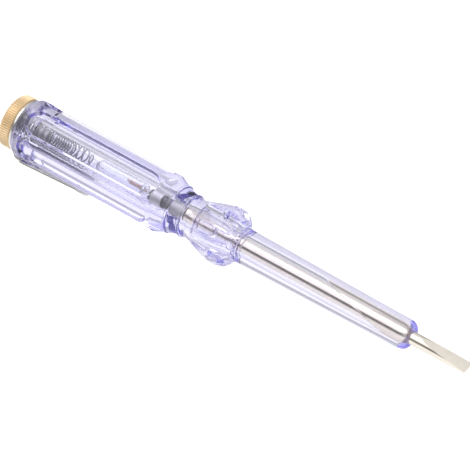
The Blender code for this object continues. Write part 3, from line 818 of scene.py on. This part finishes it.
narrow_by, narrow_start, narrow_length = 0.85, coil_end - 1.9, 1.6
coil = coil_path(24)
narrowing = smooth((coil[:, 0] - narrow_start) / narrow_length)
coil_points = ring(coil[:, 0], coil_radius - narrow_by * narrowing, coil[:, 1])
coil_data = tube("contact_coil", coil_points, wire_radius, 12)
contact_coil = add_piece(coil_data, spring_steel, "spring_steel", "contact_spring")
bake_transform(contact_coil)
print(f"contact_coil: {coil[-1, 1] / math.tau:.1f} turns")

# %% [markdown]
# ## The glow lamp
# A small glass bulb with two electrodes. The bulb is two skins, the outside and the hollow inside, and the
# hollow's skin faces inwards so that light leaves the glass there.

# %% The bulb's glass
lamp_glass, glass_tree, glass_shader, glass_place = new_finish("lamp_glass")
glass_shader.inputs["Transmission Weight"].default_value = 1.0
glass_shader.inputs["IOR"].default_value = 1.5
glass_color, glass_other = (0.97, 0.98, 1.0), (0.86, 0.88, 0.9)
worn(glass_tree, glass_shader, glass_place, glass_color, glass_other, 0.4, 0.01, 0.05, 400.0)
clear_to_lamps(glass_tree, glass_shader)
print("lamp_glass:", len(glass_tree.nodes), "nodes")

# %% The bulb's two skins
bulb_radius, bulb_wall, nib, nib_radius = 1.7, 0.35, 0.6, 0.5
seal_round, seal_length, hollow_round = 0.5, 0.95, 0.45
bulb_middle = (lamp_start + nib + bulb_radius, 0.0)
bulb = arc((lamp_start + nib, 0.0), nib_radius, 172, 110, 5) + arc(bulb_middle, bulb_radius, 158, 90, 12)
bulb += arc((lamp_end - seal_round, bulb_radius - seal_round), seal_round, 80, 10, 5) + [(lamp_end, 0.7)]
hollow_radius = bulb_radius - bulb_wall
hollow = arc(bulb_middle, hollow_radius, 178, 90, 14)
hollow_middle = (lamp_end - seal_length - hollow_round, hollow_radius - hollow_round)
hollow += arc(hollow_middle, hollow_round, 85, 5, 5) + [(lamp_end - seal_length + 0.05, 0.1)]
bulb_turns = even_turns(96)
bulb_data = skin("lamp_bulb", np.stack([ring(x, r, bulb_turns) for x, r in bulb]))
hollow_data = skin("lamp_hollow", np.stack([ring(x, r, bulb_turns[::-1]) for x, r in hollow]))
lamp_bulb = add_piece(bulb_data, lamp_glass, "lamp_glass", "lamp_glass")
join_into(lamp_bulb, hollow_data, lamp_glass)
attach(lamp_bulb, "handle")

# %% [markdown]
# ### Electrodes and leads
# The electrodes are nickel wires with a reddish coating. The solids' shapes are right at their size, so they
# stay and get finishes.

# %% Finishes for the electrodes and the leads
electrode_coat, *_ = metal(
    "electrode_nickel", (0.42, 0.25, 0.2), (0.62, 0.5, 0.44), 0.8, 0.35, 0.5, (0.2, 1, 1), 3000.0, 0.00001
)
lead_wire, *_ = metal(
    "lead_wire", (0.66, 0.64, 0.62), (0.45, 0.43, 0.42), 0.6, 0.2, 0.35, (0.1, 1, 1), 4000.0, 0.000003
)

# Solids that are right as they are, each with its better finish.
for node, finish in (
    ("lamp_electrode_upper", electrode_coat), ("lamp_electrode_lower", electrode_coat),
    ("lamp_lead_front", lead_wire), ("lamp_lead_rear", lead_wire),
):
    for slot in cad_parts[node].material_slots:
        slot.material = finish
    print(f"{node}: {finish.name}")

# %% [markdown]
# ## The resistor
# It limits the current to what a person doesn't feel. A lacquered ceramic rod has a pressed metal cap on each
# end. Its three solids are drawn again with rolled edges.

# %% The resistor's finishes
resistor_plate, *_ = metal(
    "resistor_plate", (0.62, 0.62, 0.6), (0.48, 0.48, 0.45), 0.6, 0.5, 0.62, (1, 0.3, 0.3), 3000.0, 0.000005
)
resistor_coat, coat_tree, coat_shader, coat_place = new_finish("resistor_coat")
coat_color, coat_other, lacquer_depth = (0.12, 0.12, 0.125), (0.18, 0.175, 0.17), 0.00003
worn(coat_tree, coat_shader, coat_place, coat_color, coat_other, 0.6, 0.3, 0.5, 500.0)
coat_lines = use_group(coat_tree, lines_group, coat_place, Squeeze=(1, 1, 1), Fineness=2500.0)
bumped(coat_tree, coat_shader, coat_lines.outputs["Height"], lacquer_depth)
print("resistor_coat:", len(coat_tree.nodes), "nodes")

# %% The resistor's body and caps
body_radius, plate_wall, plate_roll, pad_length = 1.5, 0.3, 0.35, 0.9
body_start, body_end = resistor_start + pad_length + 0.4, resistor_end - 0.4
body_outline = [(body_start, 1.1)] + arc((body_start + 0.3, body_radius - 0.3), 0.3, 170, 90, 4)
body_outline += arc((body_end - 0.3, body_radius - 0.3), 0.3, 90, 10, 4) + [(body_end, 1.1)]
resistor_rod = turned("resistor_rod", body_outline, 64)
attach(add_piece(resistor_rod, resistor_coat, "resistor_coat", "resistor_body"), "handle")


def plate_outline(face, way, plate_length):
    """A pressed cap's outline from its closed face, with way +1 or -1 along the pen."""
    outer, inner = body_radius + 0.1 + plate_wall, body_radius + 0.1
    shape = [(0.0, 0.3), (0.0, 0.9)] + arc((plate_roll, outer - plate_roll), plate_roll, 180, 90, 5)
    shape += [(plate_length - 0.5, outer), (plate_length - 0.35, outer + 0.03), (plate_length - 0.1, outer + 0.02)]
    shape += [(plate_length, outer - 0.12), (plate_length, inner), (plate_wall, inner), (plate_wall, 0.3)]
    placed = [(face + way * x, r) for x, r in shape]
    return placed if way > 0 else placed[::-1]


for name, node, face, way, length in (
    ("resistor_plate_rear", "resistor_cap_rear", resistor_start + pad_length, 1, 2.0),
    ("resistor_plate_front", "resistor_cap_front", resistor_end, -1, 3.9),
):
    plate = turned(name, plate_outline(face, way, length), 64)
    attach(add_piece(plate, resistor_plate, "resistor_plate", node), "handle")

# %% The pad that the lamp's lead presses on
pad_round, pad_front = 0.25, resistor_start + pad_length - 0.02
pad_outline = [(resistor_start, 0.3)] + arc((resistor_start + pad_round, 1.05), pad_round, 180, 90, 3)
pad_outline += [(pad_front, 1.3), (pad_front, 0.3)]
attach(add_piece(turned("resistor_pad", pad_outline, 64), resistor_coat, "resistor_coat"), "handle")

# %% [markdown]
# ## The table
# The pen lies on its collar and on the clip's edge, so its axis slopes a little. The pen's own frame stays
# level, and the table is the plane under those two supports.

# %% The plane under the pen
corners = np.array([v.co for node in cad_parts.values() for v in node.data.vertices])[:, [0, 2]]
clip_side, collar_side = corners[corners[:, 0] < 0.03], corners[(corners[:, 0] > 0.03) & (corners[:, 0] < 0.07)]
low_clip, low_collar = clip_side[np.argmin(clip_side[:, 1])], collar_side[np.argmin(collar_side[:, 1])]
table_slope = (low_collar[1] - low_clip[1]) / (low_collar[0] - low_clip[0])
table_tilt = math.atan(table_slope)
print(f"table slopes {math.degrees(table_tilt):.2f} degrees along the pen")

# %% [markdown]
# The table is plain and pale. A lamp lights it, which keeps the pen's soft shadow, and a glow of its own brings
# the open floor up to white for the camera. Glass and metal see a weaker glow close to the pen, a painted light,
# and behind the pen the table's colour greys, a painted shadow, which gives the plastic's lower edges something
# darker to show. Without that they vanish.

# %% The table and its finish
table_white, table_tree, table_shader, _ = new_finish("table_white")
table_shader.inputs["Roughness"].default_value = 0.9
table_shader.inputs["Emission Color"].default_value = (1, 1, 1, 1)
seen = table_tree.nodes.new("ShaderNodeLightPath").outputs
behind_pen = coordinate(table_tree, table_tree.nodes.new("ShaderNodeTexCoord").outputs["Object"], "Y")


def across_table(start, end, near, far):
    """A value that changes softly on the table behind the pen, and stays the same before it."""
    return mapped(table_tree, behind_pen, start, end, near, far, "SMOOTHSTEP")


# Painted light: glass and metal see a glow near the pen that fades out 36 mm behind it.
mirrored = arithmetic(table_tree, "MAXIMUM", seen["Is Glossy Ray"], seen["Is Transmission Ray"])
mirrored_glow = arithmetic(table_tree, "MULTIPLY", mirrored, across_table(0.008, 0.036, 0.3, 0.0))
camera_glow = arithmetic(table_tree, "MULTIPLY", seen["Is Camera Ray"], 0.8)
glow = arithmetic(table_tree, "ADD", camera_glow, mirrored_glow)
link(table_tree, glow, table_shader.inputs["Emission Strength"])
# Painted shadow: the table's colour greys from 11 mm to 50 mm behind the pen.
link(table_tree, across_table(0.011, 0.05, 0.88, 0.3), table_shader.inputs["Base Color"])

table_size, table_gap = 3.0, 0.00002
table_corners = [
    (x, y, low_collar[1] + table_slope * (x - low_collar[0]) - table_gap)
    for x, y in table_size * np.array(((-1, -1), (1, -1), (1, 1), (-1, 1)))
]
table_data = bpy.data.meshes.new("table")
table_data.from_pydata(table_corners, [], [(0, 1, 2, 3)])
table = put("table", table_data)
table_data.materials.append(table_white)
print(f"table: {2 * table_size:.0f} m square")

# %% [markdown]
# ## The studio
# Clear plastic and bright metal show their surroundings more than themselves. The pen lies under a wide soft
# light, with a darker band low on the near side, which draws the thin dark line along the blade.

# %% The world
world = bpy.data.worlds.new("studio")
bpy.context.scene.world = world
world.use_nodes = True
world_tree = world.node_tree
backdrop = world_tree.nodes["Background"]
direction = world_tree.nodes.new("ShaderNodeTexCoord").outputs["Generated"]
across, deep, up = (coordinate(world_tree, direction, axis) for axis in "XYZ")


def world_range(value, *ends):
    """A soft step in the studio's light."""
    return mapped(world_tree, value, *ends, "SMOOTHSTEP")


def world_math(operation, first, second):
    return arithmetic(world_tree, operation, first, second)


def world_towards(x, y, z):
    """How nearly a direction points at a place in the studio, from -1 to 1."""
    node = world_tree.nodes.new("ShaderNodeVectorMath")
    node.operation = "DOT_PRODUCT"
    node.inputs[1].default_value = Vector((x, y, z)).normalized()
    link(world_tree, direction, node.inputs[0])
    return node.outputs["Value"]


sky = world_range(up, 0.0, 0.8, 0.5, 0.95)
softbox = world_range(world_towards(-0.42, -0.41, 0.81), 0.86, 0.95, 0.0, 0.45)
card_top = world_range(up, 0.5, 0.66, 1.0, 0.0)
card_foot = world_range(up, 0.12, 0.28, 0.0, 1.0)
card_side = world_range(deep, -0.6, -0.4, 1.0, 0.0)
card_left = world_range(across, -0.8, -0.6, 0.0, 1.0)
card_right = world_range(across, -0.2, -0.05, 1.0, 0.0)
card = world_math("MULTIPLY", world_math("MULTIPLY", card_top, card_foot), card_side)
card = world_math("MULTIPLY", card, world_math("MULTIPLY", card_left, card_right))
lit = world_math("ADD", sky, softbox)
studio_level = world_math("MULTIPLY", lit, world_math("SUBTRACT", 1.0, world_math("MULTIPLY", card, 0.7)))
camera_sees = world_tree.nodes.new("ShaderNodeLightPath").outputs["Is Camera Ray"]
without_camera = world_math("MULTIPLY", studio_level, world_math("SUBTRACT", 1.0, camera_sees))
link(world_tree, world_math("ADD", without_camera, camera_sees), backdrop.inputs["Strength"])
backdrop.inputs["Color"].default_value = (1, 1, 1, 1)
print("studio:", len(world_tree.nodes), "nodes")

# %% The soft lamp
lamp_place, lamp_aim = Vector((-0.3, 0.02, 0.5)), Vector((0.06, 0, 0))
lamp_data = bpy.data.lights.new("key_lamp", "AREA")
lamp_data.shape, lamp_data.size, lamp_data.energy = "SQUARE", 0.35, 0.7
key_lamp = put("key_lamp", lamp_data)
key_lamp.location = lamp_place
key_lamp.rotation_euler = (lamp_aim - lamp_place).to_track_quat("-Z", "Y").to_euler()
print(f"key_lamp: {(lamp_aim - lamp_place).length:.2f} m from the pen")

# %% [markdown]
# ## The camera
# The photograph looks down at the pen from the near side and the blade's end, from far away. Its lines stay
# parallel, so the lens is long. The aim is a little above the pen's axis, near the middle of its length.

# %% The camera
azimuth, elevation = math.radians(37.42), math.radians(45.83)
back = Vector((
    math.sin(azimuth) * math.cos(elevation),
    -math.cos(azimuth) * math.cos(elevation),
    math.sin(elevation),
))
aim = Vector((60.63 * mm, 0.89 * mm, 0.57 * mm))
lens, sensor_width, picture_width = 1000.0, 36.0, 103.0 * mm
camera_data = bpy.data.cameras.new("camera")
camera_data.lens, camera_data.sensor_width = lens, sensor_width
camera = put("camera", camera_data)
camera.location = aim + back * (picture_width * lens / sensor_width)
camera.rotation_euler = (-back).to_track_quat("-Z", "Y").to_euler()
camera_data.clip_end = 20.0
bpy.context.scene.camera = camera
print(f"camera: {(camera.location - aim).length:.2f} m away, sees {picture_width / mm:.0f} mm across")

bpy.context.scene.view_settings.view_transform = "Standard"
cycles = bpy.context.scene.cycles
cycles.max_bounces = cycles.transmission_bounces = cycles.glossy_bounces = 48
cycles.transparent_max_bounces = 48
